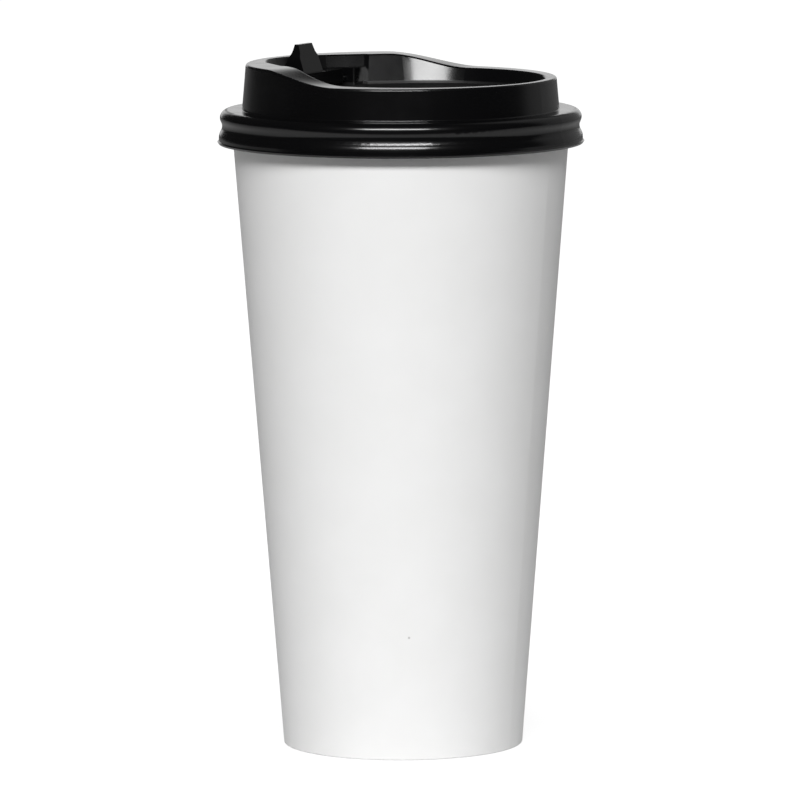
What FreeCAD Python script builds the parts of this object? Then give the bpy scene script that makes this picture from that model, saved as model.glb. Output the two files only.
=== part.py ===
import FreeCAD, Part
import math
import os
import Sketcher

# Paper coffee cup with a push-on lid and a flip stopper, in millimetres.
# The origin is the centre of the cup's base on the table, +Z is up, and the
# drinking side of the lid points along -X.

# Driving sizes: name, value and what it is
SIZES = [
    ("cup_height", 161.5, "table to the top of the rolled rim"),
    ("base_diameter", 60.8, "outside of the cup at the table"),
    ("mouth_diameter", 86.0, "outside of the wall at the rolled rim"),
    ("paper", 0.4, "thickness of the board"),
    ("rim_roll", 0.98, "outer radius of the rolled rim's section"),
    ("hem_height", 7.0, "how far the wall is turned up inside the foot"),
    ("fold_round", 0.4, "rounding of the fold at the foot"),
    ("glue_gap", 0.03, "room on each side of the bottom's flange"),
    ("bottom_height", 8.6, "table to the top of the bottom disc"),
    ("flange_lift", 0.3, "bottom's flange above the fold that holds it"),
    ("seam_width", 8.0, "overlap of the wall's side seam at the foot"),
    ("seam_step", 0.2, "how far the seam stands proud of the wall"),
    ("seam_turn", 118.0, "where the side seam lies, in degrees from +X"),
    ("lid_wall", 0.45, "thickness of the lid"),
    ("seat_gap", 0.15, "room between the rim and the lid's flange"),
    ("grip_gap", 0.25, "room between the rim and the lid's groove"),
    ("skirt_depth", 8.6, "flange top down to the lid's lower edge"),
    ("lip_height", 0.85, "height of the turned-out lip of the skirt"),
    ("lip_edge", 0.5, "height of the lip's outer edge"),
    ("lip_flare", 0.4, "lip outside the skirt's lower band"),
    ("flare_round", 3.2, "radius of the skirt's flare above its band"),
    ("flare_turn", 32.0, "steepest lean of the flare, in degrees"),
    ("groove_round", 2.36, "radius of the groove's section"),
    ("bead_swell", 0.55, "bead that holds the rim, outside the groove"),
    ("bead_round", 2.0, "radius of the bead's section"),
    ("flange_width", 5.64, "outside of the bead in to the dome"),
    ("dome_height", 8.1, "flange top up to the dome's low edge"),
    ("dome_draft", 5.0, "lean of the dome's wall in degrees"),
    ("dome_foot", 0.35, "fillet between the flange and the dome"),
    ("spout_rise", 3.55, "high edge of the dome above its low edge"),
    ("ramp_low_turn", 93.0, "where the edge starts to rise, in degrees from the spout"),
    ("ramp_high_turn", 56.0, "where the edge is full height, in degrees"),
    ("edge_round", 0.6, "rounding of the dome's upper edges"),
    ("corner_round", 0.5, "rounding of the bowl's upright corners"),
    ("bowl_depth", 3.9, "low edge down to the deck"),
    ("bowl_draft", 18.0, "lean of the bowl's walls in degrees"),
    ("bowl_land", 7.2, "dome's outside in to the bowl's radius"),
    ("bowl_shift", 4.2, "centre of the round back behind the cup's axis"),
    ("back_turn", 95.0, "where the round back ends, in degrees"),
    ("shoulder_round", 25.9, "radius of the bowl's shoulders"),
    ("side_turn", 131.0, "where the shoulder meets the side, in degrees"),
    ("step_back", 14.8, "nose back to the step in the bowl's side"),
    ("step_length", 1.4, "length of that step"),
    ("nose_round", 19.0, "radius of the bowl's nose"),
    ("nose_land", 5.1, "dome's outside in to the bowl's nose"),
    ("ledge_back", 13.8, "nose back to the front of the ledge"),
    ("ledge_rise", 0.4, "ledge above the dome's low edge"),
    ("ledge_land", 2.5, "dome's outside in to the ledge's end"),
    ("hinge_back", 10.6, "nose back to the stopper's hinge"),
    ("hinge_lift", 1.6, "hinge above the deck"),
    ("bay_half", 14.9, "half width of the bay that holds the hinge"),
    ("barrel", 1.3, "radius of the stopper's hinge barrel"),
    ("pin_radius", 0.8, "radius of the hinge pins"),
    ("pin_gap", 0.08, "room round a hinge pin"),
    ("pin_end", 1.0, "hinge pin past the side of the bay"),
    ("stopper_half", 12.3, "half width of the stopper"),
    ("stopper_plate", 0.9, "thickness of the stopper's plates"),
    ("square_back", 7.8, "nose back to where the stopper narrows"),
    ("stopper_back", 1.8, "nose back to the stopper's tip"),
    ("tip_half", 7.4, "half width of the stopper at its tip"),
    ("tip_round", 14.0, "radius of the stopper's tip"),
    ("stopper_gap", 0.3, "room round the stopper"),
    ("tab_height", 7.1, "tab above the stopper's plate"),
    ("tab_foot", 10.1, "width of the tab at its foot"),
    ("tab_shoulder", 9.6, "width of the tab at its shoulders"),
    ("tab_neck", 8.0, "width of the tab above its shoulders"),
    ("tab_top", 7.1, "width of the tab at its top"),
    ("shoulder_drop", 3.2, "tab's top down to its shoulders"),
    ("neck_drop", 2.1, "tab's top down to its neck"),
    ("tab_setback", 0.6, "foot of the tab's face behind the hinge"),
    ("tab_lean", 2.4, "lean of the tab's face towards the spout"),
    ("tab_edge", 1.1, "thickness of the tab at its top"),
    ("tab_root", 7.0, "thickness of the tab at its foot"),
    ("tab_hollow", 15.0, "radius of the hollow behind the tab"),
    ("drink_back", 5.2, "nose back to the middle of the drinking hole"),
    ("drink_length", 13.0, "length of the drinking hole, side to side"),
    ("drink_width", 4.6, "width of the drinking hole"),
    ("plug_gap", 0.4, "room round the plug in the drinking hole"),
    ("plug_depth", 1.0, "plug below the stopper's plate"),
    ("vent_reach", 14.0, "axis to the vent hole"),
    ("vent_radius", 0.5, "radius of the vent hole"),
    ("stock", 3.0, "form left above the lid for the ramp to cut away"),
    ("corner_reach", 2.0, "how near the ledge's face the rounded corners are"),
    ("ramp_inside", 12.0, "how near the axis the ramp is cut"),
]

# Sizes worked out from them, as formulas of the sheet
DERIVED = [
    ("base_radius", "=base_diameter / 2"),
    ("roll_height", "=cup_height - rim_roll"),
    ("slope", "=atan((mouth_diameter - base_diameter) / 2 / roll_height)"),
    ("roll_inside", "=rim_roll - paper"),
    ("rim_centre", "=mouth_diameter / 2 + roll_inside"),
    ("rim_radius", "=rim_centre + rim_roll"),
    ("slot_layers", "=2 * paper + 2 * glue_gap"),
    ("hem_layers", "=slot_layers + paper"),
    ("flange_top", "=cup_height + seat_gap + lid_wall"),
    ("skirt_edge", "=flange_top - skirt_depth"),
    ("groove_radius", "=rim_radius + grip_gap + lid_wall"),
    ("bead_radius", "=groove_radius + bead_swell"),
    ("bead_centre", "=bead_radius - bead_round"),
    ("groove_centre", "=groove_radius + groove_round"),
    ("rounds", "=bead_round + groove_round"),
    ("groove_fall", "=sqrt(rounds ^ 2 - (groove_centre - bead_centre) ^ 2)"),
    ("groove_height", "=flange_top - bead_round - groove_fall"),
    ("flare_centre", "=groove_centre - (groove_round + flare_round) * cos(flare_turn)"),
    ("flare_height", "=groove_height - (groove_round + flare_round) * sin(flare_turn)"),
    ("skirt_radius", "=flare_centre + flare_round"),
    ("dome_radius", "=bead_radius - flange_width"),
    ("bowl_radius", "=dome_radius - bowl_land"),
    ("nose_reach", "=dome_radius - nose_land"),
    ("foot_centre", "=dome_radius + dome_foot"),
    ("low_edge", "=flange_top + dome_height"),
    ("high_edge", "=low_edge + spout_rise"),
    ("form_top", "=high_edge + stock"),
    ("deck", "=low_edge - bowl_depth"),
    ("shoulder_x", "=bowl_shift + (bowl_radius - shoulder_round) * cos(back_turn)"),
    ("shoulder_y", "=(bowl_radius - shoulder_round) * sin(back_turn)"),
    ("side_x", "=shoulder_x + shoulder_round * cos(side_turn)"),
    ("side_y", "=shoulder_y + shoulder_round * sin(side_turn)"),
    ("step_reach", "=nose_reach - step_back"),
    ("step_half", "=side_y - (step_reach + side_x) / tan(180 - side_turn)"),
    ("nose_x", "=nose_round - nose_reach"),
    ("step_x", "=0 - step_reach - step_length"),
    ("step_span", "=sqrt((step_x - nose_x) ^ 2 + step_half ^ 2)"),
    ("nose_turn", "=acos((step_x - nose_x) / step_span) + acos(nose_round / step_span)"),
    ("ledge", "=low_edge + ledge_rise"),
    ("ledge_reach", "=nose_reach - ledge_back"),
    ("ledge_radius", "=dome_radius - ledge_land"),
    ("hinge_height", "=deck + hinge_lift"),
    ("hinge_reach", "=nose_reach - hinge_back"),
    ("stopper_under", "=ledge - stopper_plate"),
    ("stopper_floor", "=stopper_under - stopper_gap"),
    ("stopper_front", "=hinge_reach - barrel"),
    ("stopper_square", "=nose_reach - square_back"),
    ("stopper_reach", "=nose_reach - stopper_back"),
    ("bay_back", "=hinge_reach + barrel + stopper_gap"),
    ("tab_front", "=hinge_reach + tab_setback"),
    ("tab_head", "=ledge + tab_height"),
    ("drink_reach", "=nose_reach - drink_back"),
]

NAMES = [entry[0] for entry in SIZES] + [entry[0] for entry in DERIVED]
UP = FreeCAD.Vector(0, 0, 1)

doc = FreeCAD.newDocument("paper_coffee_cup")
dims = doc.addObject("Spreadsheet::Sheet", "dims")


def fill_sheet():
    """Write every size into the sheet and give its cell a name."""
    rows = [(name, str(size), note) for name, size, note in SIZES]
    rows += [(name, formula, "worked out") for name, formula in DERIVED]
    for row, (name, content, note) in enumerate(rows, start=1):
        dims.set("A%d" % row, name)
        dims.set("B%d" % row, content)
        dims.set("C%d" % row, note)
        dims.setAlias("B%d" % row, name)
    doc.recompute()


def bound(expression):
    """The expression with each size's name turned into its cell."""
    parts = []
    word = ""
    for letter in expression + " ":
        if letter.isalnum() or letter == "_":
            word += letter
            continue
        parts.append("dims." + word if word in NAMES else word)
        parts.append(letter)
        word = ""
    return "".join(parts).strip()


def value(expression):
    """What the expression measures now, as a plain number."""
    result = dims.evalExpression(bound(expression))
    return float(getattr(result, "Value", result))


def new_body(label):
    body = doc.addObject("PartDesign::Body", label)
    body.Label = label
    return body


def new_sketch(body, name, role, height):
    """A sketch on one of the body's own origin planes, lifted by height."""
    sketch = body.newObject("Sketcher::SketchObject", name)
    plane = [item for item in body.Origin.OriginFeatures if item.Role == role][0]
    sketch.AttachmentSupport = [(plane, "")]
    sketch.MapMode = "FlatFace"
    if height is not None:
        sketch.setExpression("AttachmentOffset.Base.z", bound(height))
    return sketch


def arc_between(start, end, radius):
    """The arc from start to end, turning left for a positive radius."""
    chord = end - start
    half = chord.Length / 2
    rise = math.sqrt(max(radius * radius - half * half, 0.0))
    side = FreeCAD.Vector(-chord.y, chord.x, 0).normalize() * math.copysign(rise, radius)
    centre = start + chord * 0.5 + side
    first, last = (start, end) if radius > 0 else (end, start)
    angles = [math.atan2(point.y - centre.y, point.x - centre.x) for point in (first, last)]
    return Part.ArcOfCircle(Part.Circle(centre, UP, abs(radius)), angles[0], angles[1])


def fix_size(sketch, kind, elements, expression):
    """Add a dimension to the sketch and tie it to the sheet."""
    index = sketch.addConstraint(Sketcher.Constraint(kind, *elements, value(expression)))
    sketch.setExpression("Constraints[%d]" % index, bound(expression))


def fix_point(sketch, element, point, across, up):
    """Hold a point at a place from the sketch's origin, or on its axes."""
    for kind, expression, axis in (("DistanceX", across, -2), ("DistanceY", up, -1)):
        if expression == "0":
            sketch.addConstraint(Sketcher.Constraint("PointOnObject", element, point, axis))
        else:
            fix_size(sketch, kind, (-1, 1, element, point), expression)


def draw_outline(sketch, corners):
    """Draw a closed outline. Each corner is (across, up, bend): its place,
    and the radius of the arc to the next corner, positive where that arc
    turns left, or None where the side is straight."""
    places = [FreeCAD.Vector(value(across), value(up), 0) for across, up, bend in corners]
    ends = []
    for start, end, corner in zip(places, places[1:] + places[:1], corners):
        if corner[2] is None:
            ends.append((sketch.addGeometry(Part.LineSegment(start, end), False), 1, 2))
            continue
        radius = value(corner[2])
        index = sketch.addGeometry(arc_between(start, end, radius), False)
        ends.append((index, 1, 2) if radius > 0 else (index, 2, 1))
    for this, following in zip(ends, ends[1:] + ends[:1]):
        sketch.addConstraint(
            Sketcher.Constraint("Coincident", this[0], this[2], following[0], following[1]))
    for (across, up, bend), (index, first, last) in zip(corners, ends):
        fix_point(sketch, index, first, across, up)
        if bend is not None:
            fix_size(sketch, "Radius", (index,), "abs(%s)" % bend)


def draw_circle(sketch, sizes):
    """Draw a circle from its centre across, its centre up and its radius."""
    across, up, radius = sizes
    centre = FreeCAD.Vector(value(across), value(up), 0)
    index = sketch.addGeometry(Part.Circle(centre, UP, value(radius)), False)
    fix_point(sketch, index, 3, across, up)
    fix_size(sketch, "Radius", (index,), radius)


def mirrored(half):
    """The whole outline from the half of it on one side of the first axis.
    The half runs from a corner on that axis to the other one on it."""
    across, up, unused = half[-1]
    whole = half[:-1] + [(across, up, half[-2][2])]
    for number in range(len(half) - 2, 0, -1):
        across, up, unused = half[number]
        whole.append((across, "-(%s)" % up, half[number - 1][2]))
    return whole


def finish_feature(feature, sketch, length, symmetric):
    feature.Profile = sketch
    feature.SideType = "Symmetric" if symmetric else "One side"
    feature.setExpression("Length", bound(length))
    doc.recompute()


def add_pad(body, name, role, shape, length, height=None, symmetric=False, draw=draw_outline):
    """Add a block on the sketch, along its plane's axis or to both sides."""
    sketch = new_sketch(body, name + "_outline", role, height)
    draw(sketch, shape)
    feature = body.newObject("PartDesign::Pad", name)
    finish_feature(feature, sketch, length, symmetric)


def add_pocket(body, name, role, shape, length, height=None, symmetric=False,
               draw=draw_outline, draft=None):
    """Cut the sketch's shape out, downwards from it or to both sides. With a
    draft its walls lean inwards."""
    before = body.Shape.Volume
    sketch = new_sketch(body, name + "_outline", role, height)
    draw(sketch, shape)
    feature = body.newObject("PartDesign::Pocket", name)
    if draft is not None:
        feature.setExpression("TaperAngle", bound("0 - " + draft))
    finish_feature(feature, sketch, length, symmetric)
    if not feature.Shape.Volume < before:
        raise RuntimeError(name + " cuts nothing")


def turn_sketch(sketch, turn):
    """Turn the sketch about the cup's axis."""
    sketch.AttachmentOffset = FreeCAD.Placement(
        FreeCAD.Vector(), FreeCAD.Rotation(FreeCAD.Vector(0, 1, 0), value(turn)))
    sketch.setExpression("AttachmentOffset.Rotation.Angle", bound(turn))


def add_revolution(body, name, shape, turn=None, angle=None, kind="Revolution"):
    """Turn a half section about the cup's axis, all round or by an angle."""
    sketch = new_sketch(body, name + "_section", "XZ_Plane", None)
    if turn is not None:
        turn_sketch(sketch, turn)
    draw_outline(sketch, shape)
    feature = body.newObject("PartDesign::" + kind, name)
    feature.Profile = sketch
    feature.ReferenceAxis = (sketch, ["V_Axis"])
    feature.Angle = 360.0
    if angle is not None:
        feature.Midplane = True
        feature.setExpression("Angle", bound(angle))
    doc.recompute()


def round_edges(body, name, radius, wanted):
    """Round the edges of the body so far that the test picks."""
    base = body.Tip
    shape = base.Shape
    edges = enumerate(shape.Edges, start=1)
    picked = ["Edge%d" % number for number, edge in edges if wanted(shape, edge)]
    if not picked:
        raise RuntimeError(name + " finds no edge")
    feature = body.newObject("PartDesign::Fillet", name)
    feature.Base = (base, picked)
    feature.setExpression("Radius", bound(radius))
    doc.recompute()


# Cup wall: one sheet of board wound into a cone and glued down a side seam,
# turned up inside the foot and rolled outwards at the rim
def wall_radius(height, layers="0"):
    """The cone's outer radius at a height, less some layers of board."""
    return "(base_radius + (%s) * tan(slope) - (%s))" % (height, layers)


def make_cup_wall():
    body = new_body("cup_wall")
    fold = "(fold_round * 1.06)"
    add_revolution(body, "wall", [
        (wall_radius("fold_round"), "fold_round", None),
        ("rim_centre - roll_inside", "roll_height", "-roll_inside"),
        ("rim_centre", "roll_height + roll_inside", "-roll_inside"),
        ("rim_centre + roll_inside", "roll_height", "-roll_inside"),
        ("rim_centre", "roll_height - roll_inside", None),
        ("rim_centre", "roll_height - rim_roll", "rim_roll"),
        ("rim_radius", "roll_height", "rim_roll"),
        ("rim_centre", "cup_height", "rim_roll"),
        ("rim_centre - rim_roll", "roll_height", None),
        (wall_radius("paper", "paper"), "paper", None),
        (wall_radius("paper", "slot_layers"), "paper", None),
        (wall_radius("hem_height", "slot_layers"), "hem_height", None),
        (wall_radius("hem_height", "hem_layers"), "hem_height", None),
        (wall_radius("fold_round", "hem_layers"), "fold_round", fold),
        (wall_radius("0", "hem_layers - fold_round"), "0", None),
        (wall_radius("0", "fold_round"), "0", fold),
    ])
    foot = "(hem_height + paper)"
    head = "(roll_height - rim_roll - paper)"
    add_revolution(body, "seam", [
        (wall_radius(foot, "paper / 2"), foot, None),
        (wall_radius(foot, "0 - seam_step"), foot, None),
        (wall_radius(head, "0 - seam_step"), head, None),
        (wall_radius(head, "paper / 2"), head, None),
    ], turn="seam_turn", angle="2 * atan(seam_width / base_diameter)")
    return body


# Cup bottom: a disc of the same board with its edge turned down into the hem
def make_cup_bottom():
    body = new_body("cup_bottom")
    outside = "paper + glue_gap"
    inside = "2 * paper + glue_gap"
    foot = "(paper + flange_lift)"
    under = "(bottom_height - paper)"
    add_revolution(body, "bottom", [
        ("0", "bottom_height", None),
        ("0", under, None),
        (wall_radius(under, inside), under, None),
        (wall_radius(foot, inside), foot, None),
        (wall_radius(foot, outside), foot, None),
        (wall_radius("bottom_height", outside), "bottom_height", None),
    ])
    return body


# Lid: its outside form less its inside form. Both are made of the same
# features, and the inside form is set in by the lid's thickness.
def lid_section(inset, below):
    """The half section of the form, from its lower edge to its top."""
    bead = "(bead_round - %s)" % inset
    groove = "(groove_round + %s)" % inset
    flare = "(flare_round - %s)" % inset
    skirt = "skirt_radius - %s" % inset
    foot = "(dome_foot + %s)" % inset
    wall_foot = "(foot_centre - %s * cos(dome_draft))" % foot
    wall_start = "(flange_top + dome_foot - %s * sin(dome_draft))" % foot
    return [
        ("0", "skirt_edge - %s" % below, None),
        (skirt, "skirt_edge - %s" % below, None),
        (skirt + " + lip_flare", "skirt_edge + lip_edge", None),
        (skirt, "skirt_edge + lip_height", None),
        (skirt, "flare_height", flare),
        ("flare_centre + %s * cos(flare_turn)" % flare,
         "flare_height + %s * sin(flare_turn)" % flare, "-%s" % groove),
        ("bead_centre + %s * (groove_centre - bead_centre) / rounds" % bead,
         "flange_top - bead_round - %s * groove_fall / rounds" % bead, bead),
        ("bead_centre", "flange_top - %s" % inset, None),
        ("foot_centre", "flange_top - %s" % inset, "-%s" % foot),
        (wall_foot, wall_start, None),
        ("%s - (form_top - %s) * tan(dome_draft)" % (wall_foot, wall_start), "form_top", None),
        ("0", "form_top", None),
    ]


# The ramp's stations, as shares of the way round it
STATIONS = [0.0, 0.11, 0.27, 0.5, 0.73, 0.89, 1.0]


def above(height, reach, inside="0"):
    """The section of what is cut off above a height, out to a reach."""
    return [
        (inside, height, None),
        (reach, height, None),
        (reach, "form_top + stock", None),
        (inside, "form_top + stock", None),
    ]


def cut_ramp(body, label, inset):
    """Cut the dome down to its low edge at the back, to its high edge at the
    spout, and to a ramp between them on each side, level at both ends."""
    reach = "skirt_radius + stock"
    add_revolution(body, label + "_low", above("low_edge - %s" % inset, reach),
                   angle="360 - 2 * ramp_low_turn", kind="Groove")
    add_revolution(body, label + "_high", above("high_edge - %s" % inset, reach),
                   turn="180", angle="2 * ramp_high_turn", kind="Groove")
    for side, sign in (("left", "-"), ("right", "+")):
        name = "%s_ramp_%s" % (label, side)
        sections = []
        for number, share in enumerate(STATIONS):
            rise = share ** 2 * (3 - 2 * share)
            angle = "(ramp_low_turn + %s * (ramp_high_turn - ramp_low_turn))" % share
            sketch = new_sketch(body, "%s_%d" % (name, number), "XZ_Plane", None)
            turn_sketch(sketch, "180 %s %s" % (sign, angle))
            draw_outline(sketch, above("low_edge + %.4f * spout_rise - %s" % (rise, inset),
                                       reach, "ramp_inside"))
            sections.append(sketch)
        feature = body.newObject("PartDesign::SubtractiveLoft", name)
        feature.Profile = sections[0]
        feature.Sections = sections[1:]
        doc.recompute()


def bowl_outline(inset):
    """The bowl seen from above: its round back, a shoulder, two straight
    sides with a small step between them, and the nose at the spout."""
    back = "(bowl_radius + %s)" % inset
    shoulder = "(shoulder_round + %s)" % inset
    nose = "(nose_round + %s)" % inset
    step = "step_half + %s" % inset
    corner = "%s * (1 - sin(side_turn)) / cos(side_turn)" % inset
    return mirrored([
        ("bowl_shift + %s" % back, "0", back),
        ("bowl_shift + %s * cos(back_turn)" % back, "%s * sin(back_turn)" % back, shoulder),
        ("shoulder_x + %s * cos(side_turn)" % shoulder,
         "shoulder_y + %s * sin(side_turn)" % shoulder, None),
        ("0 - step_reach + %s" % corner, step, None),
        ("step_x + %s * (1 - sin(nose_turn)) / cos(nose_turn)" % inset, step, None),
        ("nose_x + %s * cos(nose_turn)" % nose, "%s * sin(nose_turn)" % nose, nose),
        ("nose_x - %s" % nose, "0", None),
    ])


def stopper_outline(room, front):
    """The stopper seen from above, with some room added all round it."""
    tip = "(tip_round + %s)" % room
    tip_half = "(tip_half + 0.6 * (%s))" % room
    half = "stopper_half + %s" % room
    return mirrored([
        ("0 - (%s)" % front, "0", None),
        ("0 - (%s)" % front, half, None),
        ("0 - stopper_square - 0.5 * (%s)" % room, half, None),
        ("tip_round - stopper_reach - sqrt(%s ^ 2 - %s ^ 2)" % (tip, tip_half), tip_half, tip),
        ("0 - stopper_reach - %s" % room, "0", None),
    ])


def make_lid_form(label, inset, below):
    """The lid's outside form, or its inside form with an inset."""
    body = new_body(label)
    add_revolution(body, label + "_turned", lid_section(inset, below))
    cut_ramp(body, label, inset)
    spread = "(%s / cos(bowl_draft) + (form_top - low_edge) * tan(bowl_draft))" % inset
    add_pocket(body, label + "_bowl", "XY_Plane", bowl_outline(spread),
               "form_top - deck + %s" % inset, height="form_top", draft="bowl_draft")
    half = "sqrt(ledge_radius ^ 2 - (ledge_reach + %s) ^ 2)" % inset
    chord = "0 - ledge_reach - %s" % inset
    add_pad(body, label + "_ledge", "XY_Plane", mirrored([
        (chord, "0", None),
        (chord, half, "ledge_radius"),
        ("0 - ledge_radius", "0", None),
    ]), "ledge - deck + stock", height="deck - stock - %s" % inset)
    add_pocket(body, label + "_bay", "XY_Plane", mirrored([
        ("0 - ledge_reach + stock", "0", None),
        ("0 - ledge_reach + stock", "bay_half + %s" % inset, None),
        ("0 - bay_back - %s" % inset, "bay_half + %s" % inset, None),
        ("0 - bay_back - %s" % inset, "0", None),
    ]), "form_top - deck + %s" % inset, height="form_top")
    add_pocket(body, label + "_recess", "XY_Plane",
               stopper_outline("(stopper_gap + %s)" % inset, "ledge_reach"),
               "form_top - stopper_floor + %s" % inset, height="form_top")
    return body


def cut_lid_holes(body):
    """The hinge's pin holes, the drinking hole and the vent."""
    add_pocket(body, "pin_holes", "XZ_Plane",
               ("0 - hinge_reach", "hinge_height", "pin_radius + pin_gap"),
               "2 * (bay_half + pin_end + pin_gap)", symmetric=True, draw=draw_circle)
    add_pocket(body, "drinking_hole", "XY_Plane", slot_outline("0"),
               "2 * lid_wall", height="stopper_floor")
    add_pocket(body, "vent_hole", "XY_Plane", ("0 - vent_reach", "0", "vent_radius"),
               "2 * lid_wall", height="deck", draw=draw_circle)


def slot_outline(room):
    """The drinking hole seen from above, less some room all round."""
    end = "(drink_width / 2 - %s)" % room
    straight = "(drink_length - drink_width) / 2"
    near = "%s - drink_reach" % end
    far = "0 - drink_reach - %s" % end
    return [
        (near, "0 - " + straight, None),
        (near, straight, end),
        ("0 - drink_reach", "%s + %s" % (straight, end), end),
        (far, straight, None),
        (far, "0 - " + straight, end),
        ("0 - drink_reach", "0 - %s - %s" % (straight, end), end),
    ]


def middle_of(edge):
    return edge.valueAt((edge.FirstParameter + edge.LastParameter) / 2)


def normal_at(face, place):
    return face.normalAt(*face.Surface.parameter(place))


def is_corner(shape, edge):
    """Whether two upright walls meet at an angle there, near the ledge's face."""
    place = middle_of(edge)
    faces = shape.ancestorsOfType(edge, Part.Face)
    near = abs(place.x + value("ledge_reach")) < value("corner_reach")
    if not near or place.z < value("deck") or len(faces) != 2:
        return False
    first, second = [normal_at(face, place) for face in faces]
    upright = max(abs(first.z), abs(second.z)) < 0.1
    return upright and abs(first.dot(second)) < 0.95


def is_rim_edge(shape, edge):
    """Whether the edge bounds the dome's upper edge on one side only."""
    faces = shape.ancestorsOfType(edge, Part.Face)
    return sum(is_rim_face(face) for face in faces) == 1


def is_rim_face(face):
    box = face.BoundBox
    on_ledge = abs(box.ZMax - value("ledge")) < 0.001
    return box.ZMin > value("low_edge") - 0.05 and not on_ledge and tilt_of(face) > 0.9


def tilt_of(face):
    """How far the face looks up, from 0 for a wall to 1 for a floor."""
    first, last, low, high = face.ParameterRange
    return face.normalAt((first + last) / 2, (low + high) / 2).z


def make_lid():
    outside = make_lid_form("lid_outside", "0", "0")
    round_edges(outside, "corners", "corner_round", is_corner)
    round_edges(outside, "rim_edges", "edge_round", is_rim_edge)
    cut_lid_holes(outside)
    inside = make_lid_form("lid_inside", "lid_wall", "stock")
    lid = doc.addObject("Part::Cut", "lid")
    lid.Label = "lid"
    lid.Base = outside
    lid.Tool = inside
    doc.recompute()


# Stopper: a plate with a turned-down front, a tab to lift it by, a plug for
# the drinking hole and a pin at each side
def front_section():
    """The turned-down front and its hinge barrel, seen from the side."""
    back = "0 - stopper_front - stopper_plate"
    join = "hinge_height + sqrt(barrel ^ 2 - (barrel - stopper_plate) ^ 2)"
    return [
        ("0 - stopper_front", "ledge", None),
        (back, "ledge", None),
        (back, join, "barrel"),
        ("0 - hinge_reach - barrel", "hinge_height", "barrel"),
        ("0 - hinge_reach", "hinge_height - barrel", "barrel"),
        ("0 - stopper_front", "hinge_height", None),
    ]


def tab_section():
    """The tab seen from the side, with its hollow back."""
    return [
        ("0 - tab_front", "ledge", None),
        ("0 - tab_front - tab_lean", "tab_head", None),
        ("0 - tab_front - tab_lean - tab_edge", "tab_head", "-tab_hollow"),
        ("0 - tab_front - tab_root", "ledge", None),
    ]


def beside_tab(side):
    """What is cut off beside the tab, seen from the front."""
    return [
        ("%s tab_foot / 2" % side, "ledge", None),
        ("%s (tab_foot / 2 + stock)" % side, "ledge", None),
        ("%s (tab_foot / 2 + stock)" % side, "tab_head + stock", None),
        ("%s tab_top / 2" % side, "tab_head + stock", None),
        ("%s tab_top / 2" % side, "tab_head", None),
        ("%s tab_neck / 2" % side, "tab_head - neck_drop", None),
        ("%s tab_shoulder / 2" % side, "tab_head - shoulder_drop", None),
    ]


def make_stopper():
    body = new_body("stopper")
    add_pad(body, "plate", "XY_Plane", stopper_outline("0", "stopper_front"),
            "stopper_plate", height="stopper_under")
    add_pad(body, "front", "XZ_Plane", front_section(), "2 * stopper_half", symmetric=True)
    add_pad(body, "tab", "XZ_Plane", tab_section(), "tab_foot", symmetric=True)
    for name, side in (("left_slope", "0 -"), ("right_slope", "0 +")):
        add_pocket(body, name, "YZ_Plane", beside_tab(side),
                   "2 * stopper_reach + stock", symmetric=True)
    add_pad(body, "plug", "XY_Plane", slot_outline("plug_gap"),
            "plug_depth", height="stopper_under - plug_depth")
    add_pad(body, "pins", "XZ_Plane", ("0 - hinge_reach", "hinge_height", "pin_radius"),
            "2 * (bay_half + pin_end)", symmetric=True, draw=draw_circle)


def write_parts(nodes):
    """Check every object and write each sub-part's file."""
    failed = [item.Name for item in doc.Objects if {"Invalid", "Error"} & set(item.State)]
    if failed:
        raise RuntimeError("failed objects: " + ", ".join(failed))
    os.makedirs("parts", exist_ok=True)
    for node in nodes:
        shape = doc.getObject(node).Shape
        if shape.isNull() or not shape.isValid() or len(shape.Solids) != 1:
            raise RuntimeError(node + " is not one sound solid")
    for node in nodes:
        shape = doc.getObject(node).Shape
        shape.exportStep("parts/%s.step" % node)
        print(node, round(shape.Volume, 1), "cubic mm")


fill_sheet()
make_cup_wall()
make_cup_bottom()
make_lid()
make_stopper()
doc.recompute()
write_parts(["cup_wall", "cup_bottom", "lid", "stopper"])
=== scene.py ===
import math

import bpy
from mathutils import Matrix, Vector

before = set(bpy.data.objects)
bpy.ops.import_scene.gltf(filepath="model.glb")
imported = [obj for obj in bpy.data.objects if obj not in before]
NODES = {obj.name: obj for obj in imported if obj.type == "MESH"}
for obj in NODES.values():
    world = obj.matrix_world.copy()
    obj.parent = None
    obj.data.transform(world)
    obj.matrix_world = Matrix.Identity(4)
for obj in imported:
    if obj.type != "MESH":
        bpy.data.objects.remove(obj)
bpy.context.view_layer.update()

# The camera's place and aim, solved from the ellipses of the foot and the skirt.
AZIMUTH = math.radians(28.0)
CAMERA_DISTANCE = 2.0
CAMERA_HEIGHT = 0.330
PITCH = math.radians(6.905)
YAW = math.radians(0.014)
ROLL = math.radians(-0.235)
LENS = 356.5
SENSOR_WIDTH = 36.0
CLIP_END = 20.0

# The soft box in front and above: its direction as seen from the lid, and its size.
BOX_TURN = math.radians(-4.5)
BOX_RISE = math.radians(33.5)
BOX_DISTANCE = 1.5
BOX_WIDTH = 1.03
BOX_HEIGHT = 0.29
BOX_POWER = 22.0
LID_HEIGHT = 0.16

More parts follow.
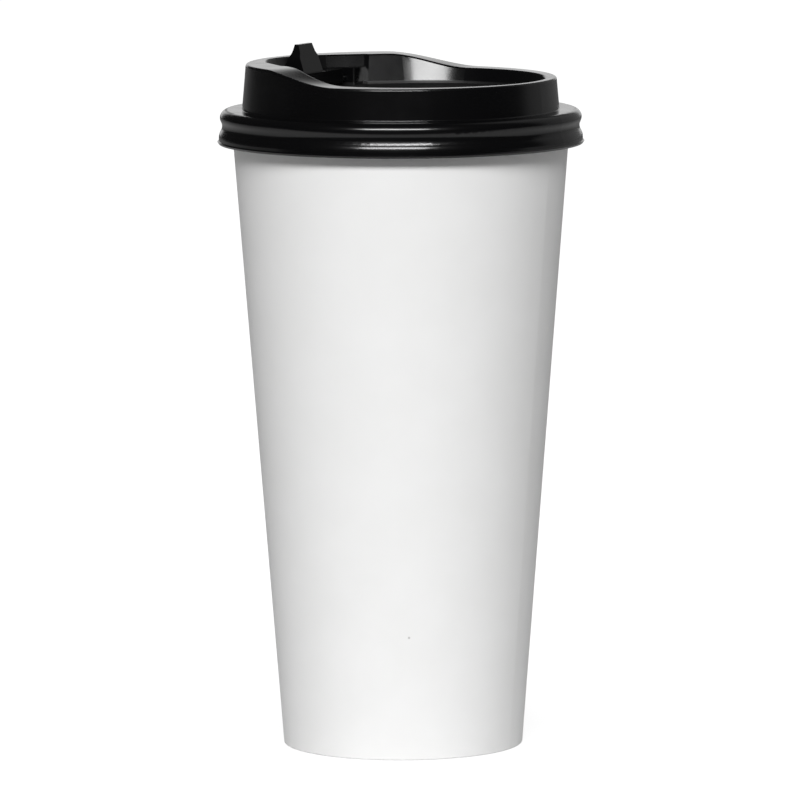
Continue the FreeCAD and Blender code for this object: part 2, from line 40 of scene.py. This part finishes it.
# The board: its mottle, its surface and its fine fibre texture.
MOTTLE_SCALE = 60.0
MOTTLE_DETAIL = 5.0
MOTTLE_DARK_AT = 0.3
MOTTLE_PALE_AT = 0.7
BOARD_DARK = (0.905, 0.905, 0.900, 1.0)
BOARD_PALE = (0.930, 0.930, 0.927, 1.0)
BOARD_ROUGHNESS = 0.6
BOARD_SPECULAR = 0.3
FIBRE_SCALE = 1400.0
FIBRE_DETAIL = 4.0
FIBRE_ROUGHNESS = 0.6
FIBRE_BUMP = 0.12
BUMP_DISTANCE = 0.0001

# A speck on the board, low in front: its turn from the camera, its height, how far
# it lies from the cup's axis, its radius, its colour and how much it covers.
SPECK_TURN = math.radians(2.7)
SPECK_HEIGHT = 0.0316
SPECK_AXIS = 0.0329
SPECK_RADIUS = 0.0004
SPECK_COLOUR = (0.30, 0.29, 0.28, 1.0)
SPECK_COVER = 0.5
SPECK_PLACE = (SPECK_AXIS * math.sin(AZIMUTH + SPECK_TURN),
               -SPECK_AXIS * math.cos(AZIMUTH + SPECK_TURN), SPECK_HEIGHT)

# The lid's plastic: its colour, its gloss and its faint ripple.
LID_COLOUR = (0.0025, 0.0025, 0.0028, 1.0)
HAZE_SCALE = 180.0
HAZE_DETAIL = 3.0
ROUGHNESS_LOW = 0.16
ROUGHNESS_HIGH = 0.24
RIPPLE_SCALE = 420.0
RIPPLE_DETAIL = 2.0
RIPPLE_BUMP = 0.04

# The lid's sunken deck, which is matter than the rest: its heights, how far it
# reaches from the cup's axis, how much rougher it is and how it fades at its edges.
DECK_LOW = 0.1655
DECK_HIGH = 0.1667
DECK_REACH = 0.0383
DECK_ROUGHER = 0.34
DECK_FADE_LOW = 0.0002
DECK_FADE_HIGH = 0.0004
DECK_FADE_SIDE = 0.0005

# The room: what it adds to all surfaces, and what its parts look like in reflections.
# Each START and END is a share of the full way back or right, where a part fades in.
AMBIENT = 0.12
AMBIENT_BACK = 0.55
AMBIENT_START = 0.3
AMBIENT_END = 0.9
DARK_ROOM = 0.02
RIGHT_WING = 0.22
WING_RIGHT_START = 0.15
WING_RIGHT_END = 0.4
WING_BACK_START = 0.1
WING_BACK_END = 0.35
BACKDROP = 1.0
BACKDROP_START = 0.93
BACKDROP_END = 0.975

# The table's front edge, as light and reflections find it: white nearer, dark beyond.
TABLE_START = 0.20
TABLE_END = 0.26
TABLE_WHITE = 0.79
TABLE_DARK = 0.04

# The floor: its half width, its mottle and its surface.
FLOOR_SIZE = 5.0
FLOOR_SCALE = 3.0
FLOOR_DETAIL = 2.0
FLOOR_LOW = 0.99
FLOOR_HIGH = 1.01
FLOOR_ROUGHNESS = 0.9

# The floor as the camera sees it: the colour that takes the shadow, and its own
# glow by the object and far from it.
SEEN_COLOUR = (0.22, 0.22, 0.22, 1.0)
GLOW_NEAR = 0.88
GLOW_FAR = 1.0
GLOW_START = 0.03
GLOW_REACH = 0.12

WHITE = (1.0, 1.0, 1.0, 1.0)

# Where a Mix node keeps its colours
MIX_COLOUR_A = 6
MIX_COLOUR_B = 7
MIX_COLOUR_RESULT = 2


def new_material(name):
    """Makes a node material and gives back it, its nodes, its links and its shader."""
    material = bpy.data.materials.new(name)
    material.use_nodes = True
    nodes = material.node_tree.nodes
    shader = nodes["Principled BSDF"]
    return material, nodes, material.node_tree.links, shader


def add_noise(nodes, links, vector, scale, detail, roughness=0.5):
    """A noise pattern over the given coordinates."""
    noise = nodes.new("ShaderNodeTexNoise")
    noise.inputs["Scale"].default_value = scale
    noise.inputs["Detail"].default_value = detail
    noise.inputs["Roughness"].default_value = roughness
    links.new(vector, noise.inputs["Vector"])
    return noise.outputs["Fac"]


def add_range(nodes, links, value, low, high, smooth=False):
    """Maps a value of 0 to 1 onto the range low to high."""
    ramp = nodes.new("ShaderNodeMapRange")
    ramp.inputs["To Min"].default_value = low
    ramp.inputs["To Max"].default_value = high
    if smooth:
        ramp.interpolation_type = "SMOOTHSTEP"
    links.new(value, ramp.inputs["Value"])
    return ramp


def add_step(nodes, links, value, low, high, start, end):
    """A smooth step of the value from low to high, between start and end."""
    ramp = add_range(nodes, links, value, low, high, smooth=True)
    ramp.inputs["From Min"].default_value = start
    ramp.inputs["From Max"].default_value = end
    return ramp.outputs["Result"]


def add_math(nodes, links, operation, first, second):
    """One sum on two outputs, or on an output and a number."""
    node = nodes.new("ShaderNodeMath")
    node.operation = operation
    links.new(first, node.inputs[0])
    if isinstance(second, float):
        node.inputs[1].default_value = second
    else:
        links.new(second, node.inputs[1])
    return node.outputs["Value"]


def add_vector(nodes, links, operation, vector, other=None):
    """One step on a vector, with a fixed second vector where it takes one."""
    node = nodes.new("ShaderNodeVectorMath")
    node.operation = operation
    links.new(vector, node.inputs[0])
    if other is not None:
        node.inputs[1].default_value = other
    return node.outputs


def add_along(nodes, links, vector, direction):
    """How far the vector runs along a direction."""
    return add_vector(nodes, links, "DOT_PRODUCT", vector, direction)["Value"]


def add_bump(nodes, links, height, strength, shader):
    """A fine bump of the shader's surface."""
    bump = nodes.new("ShaderNodeBump")
    bump.inputs["Strength"].default_value = strength
    bump.inputs["Distance"].default_value = BUMP_DISTANCE
    links.new(height, bump.inputs["Height"])
    links.new(bump.outputs["Normal"], shader.inputs["Normal"])


def make_board():
    """White coated board: a faint mottle, a fine fibre texture and a small dark speck."""
    material, nodes, links, shader = new_material("white_board")
    where = nodes.new("ShaderNodeTexCoord").outputs["Object"]
    mottle = add_noise(nodes, links, where, MOTTLE_SCALE, MOTTLE_DETAIL)
    tone = nodes.new("ShaderNodeValToRGB")
    dark, pale = tone.color_ramp.elements
    dark.position = MOTTLE_DARK_AT
    dark.color = BOARD_DARK
    pale.position = MOTTLE_PALE_AT
    pale.color = BOARD_PALE
    links.new(mottle, tone.inputs["Fac"])
    away = add_vector(nodes, links, "DISTANCE", where, SPECK_PLACE)["Value"]
    speck = add_step(nodes, links, away, SPECK_COVER, 0.0, SPECK_RADIUS / 2, SPECK_RADIUS)
    marked = nodes.new("ShaderNodeMix")
    marked.data_type = "RGBA"
    links.new(speck, marked.inputs["Factor"])
    links.new(tone.outputs["Color"], marked.inputs[MIX_COLOUR_A])
    marked.inputs[MIX_COLOUR_B].default_value = SPECK_COLOUR
    links.new(marked.outputs[MIX_COLOUR_RESULT], shader.inputs["Base Color"])
    shader.inputs["Roughness"].default_value = BOARD_ROUGHNESS
    shader.inputs["Specular IOR Level"].default_value = BOARD_SPECULAR
    fibre = add_noise(nodes, links, where, FIBRE_SCALE, FIBRE_DETAIL, FIBRE_ROUGHNESS)
    add_bump(nodes, links, fibre, FIBRE_BUMP, shader)
    return material


def make_lid_plastic():
    """Black moulded plastic: glossy outside, a matter sunken deck and a faint ripple."""
    material, nodes, links, shader = new_material("black_lid_plastic")
    where = nodes.new("ShaderNodeTexCoord").outputs["Object"]
    shader.inputs["Base Color"].default_value = LID_COLOUR
    haze = add_noise(nodes, links, where, HAZE_SCALE, HAZE_DETAIL)
    gloss = add_range(nodes, links, haze, ROUGHNESS_LOW, ROUGHNESS_HIGH).outputs["Result"]
    place = nodes.new("ShaderNodeSeparateXYZ")
    links.new(where, place.inputs["Vector"])
    height = place.outputs["Z"]
    above = add_step(nodes, links, height, 0.0, 1.0, DECK_LOW, DECK_LOW + DECK_FADE_LOW)
    below = add_step(nodes, links, height, 1.0, 0.0, DECK_HIGH, DECK_HIGH + DECK_FADE_HIGH)
    across = add_vector(nodes, links, "MULTIPLY", where, (1.0, 1.0, 0.0))["Vector"]
    radius = add_vector(nodes, links, "LENGTH", across)["Value"]
    inside = add_step(nodes, links, radius, 1.0, 0.0, DECK_REACH, DECK_REACH + DECK_FADE_SIDE)
    level = add_math(nodes, links, "MULTIPLY", above, below)
    deck = add_math(nodes, links, "MULTIPLY", level, inside)
    extra = add_math(nodes, links, "MULTIPLY", deck, DECK_ROUGHER)
    links.new(add_math(nodes, links, "ADD", gloss, extra), shader.inputs["Roughness"])
    ripple = add_noise(nodes, links, where, RIPPLE_SCALE, RIPPLE_DETAIL)
    add_bump(nodes, links, ripple, RIPPLE_BUMP, shader)
    return material


def dress(node, material):
    """Gives a CAD node its material and smooth shading."""
    piece = NODES[node]
    for slot in piece.material_slots:
        slot.material = material
    for polygon in piece.data.polygons:
        polygon.use_smooth = True


def make_floor():
    """A wide floor that is white to the camera but keeps the object's shadow. To
    light and reflections it is a white table that ends in front of the object."""
    mesh = bpy.data.meshes.new("floor")
    corners = [(FLOOR_SIZE * x, FLOOR_SIZE * y, 0.0) for x, y in ((-1, -1), (1, -1), (1, 1), (-1, 1))]
    mesh.from_pydata(corners, [], [(0, 1, 2, 3)])
    floor = bpy.data.objects.new("floor", mesh)
    bpy.context.scene.collection.objects.link(floor)
    material, nodes, links, shader = new_material("floor_white")
    where = nodes.new("ShaderNodeTexCoord").outputs["Object"]
    tone = add_noise(nodes, links, where, FLOOR_SCALE, FLOOR_DETAIL)
    front = add_along(nodes, links, where, (math.sin(AZIMUTH), -math.cos(AZIMUTH), 0.0))
    table = add_step(nodes, links, front, TABLE_WHITE, TABLE_DARK, TABLE_START, TABLE_END)
    mottle = add_range(nodes, links, tone, FLOOR_LOW, FLOOR_HIGH).outputs["Result"]
    links.new(add_math(nodes, links, "MULTIPLY", table, mottle), shader.inputs["Base Color"])
    shader.inputs["Roughness"].default_value = FLOOR_ROUGHNESS
    shader.inputs["Specular IOR Level"].default_value = 0.0
    distance = add_vector(nodes, links, "LENGTH", where)["Value"]
    strength = add_step(nodes, links, distance, GLOW_NEAR, GLOW_FAR, GLOW_START, GLOW_REACH)
    seen_diffuse = nodes.new("ShaderNodeBsdfDiffuse")
    seen_diffuse.inputs["Color"].default_value = SEEN_COLOUR
    glow = nodes.new("ShaderNodeEmission")
    links.new(strength, glow.inputs["Strength"])
    seen = nodes.new("ShaderNodeAddShader")
    links.new(seen_diffuse.outputs["BSDF"], seen.inputs[0])
    links.new(glow.outputs["Emission"], seen.inputs[1])
    pick = nodes.new("ShaderNodeMixShader")
    links.new(nodes.new("ShaderNodeLightPath").outputs["Is Camera Ray"], pick.inputs["Fac"])
    links.new(shader.outputs["BSDF"], pick.inputs[1])
    links.new(seen.outputs["Shader"], pick.inputs[2])
    links.new(pick.outputs["Shader"], nodes["Material Output"].inputs["Surface"])
    mesh.materials.append(material)


def make_world():
    """White to the camera. In reflections, and as light: a white backdrop behind the
    object, a dimmer wing to its right and a dark room in front."""
    world = bpy.data.worlds.new("studio")
    bpy.context.scene.world = world
    world.use_nodes = True
    nodes = world.node_tree.nodes
    links = world.node_tree.links
    path = nodes.new("ShaderNodeLightPath")
    where = nodes.new("ShaderNodeTexCoord").outputs["Generated"]
    back = add_along(nodes, links, where, (-math.sin(AZIMUTH), math.cos(AZIMUTH), 0.0))
    right = add_along(nodes, links, where, (math.cos(AZIMUTH), math.sin(AZIMUTH), 0.0))
    to_right = add_step(nodes, links, right, 0.0, 1.0, WING_RIGHT_START, WING_RIGHT_END)
    to_back = add_step(nodes, links, back, DARK_ROOM, RIGHT_WING, WING_BACK_START, WING_BACK_END)
    wing = add_math(nodes, links, "MULTIPLY", to_right, to_back)
    backdrop = add_step(nodes, links, back, DARK_ROOM, BACKDROP, BACKDROP_START, BACKDROP_END)
    mirror = add_math(nodes, links, "MAXIMUM", wing, backdrop)
    ambient = add_step(nodes, links, back, AMBIENT, AMBIENT_BACK, AMBIENT_START, AMBIENT_END)
    mirrored = add_math(nodes, links, "MAXIMUM", path.outputs["Is Glossy Ray"],
                        path.outputs["Is Transmission Ray"])
    room = nodes.new("ShaderNodeMix")
    links.new(mirrored, room.inputs["Factor"])
    links.new(ambient, room.inputs["A"])
    links.new(mirror, room.inputs["B"])
    seen = nodes.new("ShaderNodeMix")
    seen.inputs["B"].default_value = 1.0
    links.new(path.outputs["Is Camera Ray"], seen.inputs["Factor"])
    links.new(room.outputs["Result"], seen.inputs["A"])
    background = nodes["Background"]
    background.inputs["Color"].default_value = WHITE
    links.new(seen.outputs["Result"], background.inputs["Strength"])


def make_soft_box():
    """The one soft box: in front, high up, a little to the camera's left."""
    turn = AZIMUTH + BOX_TURN
    level = math.cos(BOX_RISE) * BOX_DISTANCE
    place = Vector((math.sin(turn) * level, -math.cos(turn) * level,
                    LID_HEIGHT + math.sin(BOX_RISE) * BOX_DISTANCE))
    light = bpy.data.lights.new("soft_box", "AREA")
    light.shape = "RECTANGLE"
    light.size = BOX_WIDTH
    light.size_y = BOX_HEIGHT
    light.energy = BOX_POWER
    lamp = bpy.data.objects.new("soft_box", light)
    lamp.location = place
    aim = Vector((0.0, 0.0, LID_HEIGHT)) - place
    lamp.rotation_euler = aim.to_track_quat("-Z", "Y").to_euler()
    bpy.context.scene.collection.objects.link(lamp)


def make_camera():
    """The camera at the photograph's viewing angle."""
    camera = bpy.data.objects.new("camera", bpy.data.cameras.new("camera"))
    camera.data.sensor_width = SENSOR_WIDTH
    camera.data.lens = LENS
    camera.data.clip_end = CLIP_END
    place = Matrix.Translation((math.sin(AZIMUTH) * CAMERA_DISTANCE,
                                -math.cos(AZIMUTH) * CAMERA_DISTANCE, CAMERA_HEIGHT))
    turn = Matrix.Rotation(AZIMUTH + YAW, 4, "Z")
    tilt = Matrix.Rotation(math.radians(90.0) - PITCH, 4, "X")
    roll = Matrix.Rotation(ROLL, 4, "Z")
    camera.matrix_world = place @ turn @ tilt @ roll
    bpy.context.scene.collection.objects.link(camera)
    bpy.context.scene.camera = camera


board = make_board()
lid_plastic = make_lid_plastic()
dress("cup_wall", board)
dress("cup_bottom", board)
dress("lid", lid_plastic)
dress("stopper", lid_plastic)
make_floor()
make_world()
make_soft_box()
make_camera()
bpy.context.scene.view_settings.view_transform = "Standard"
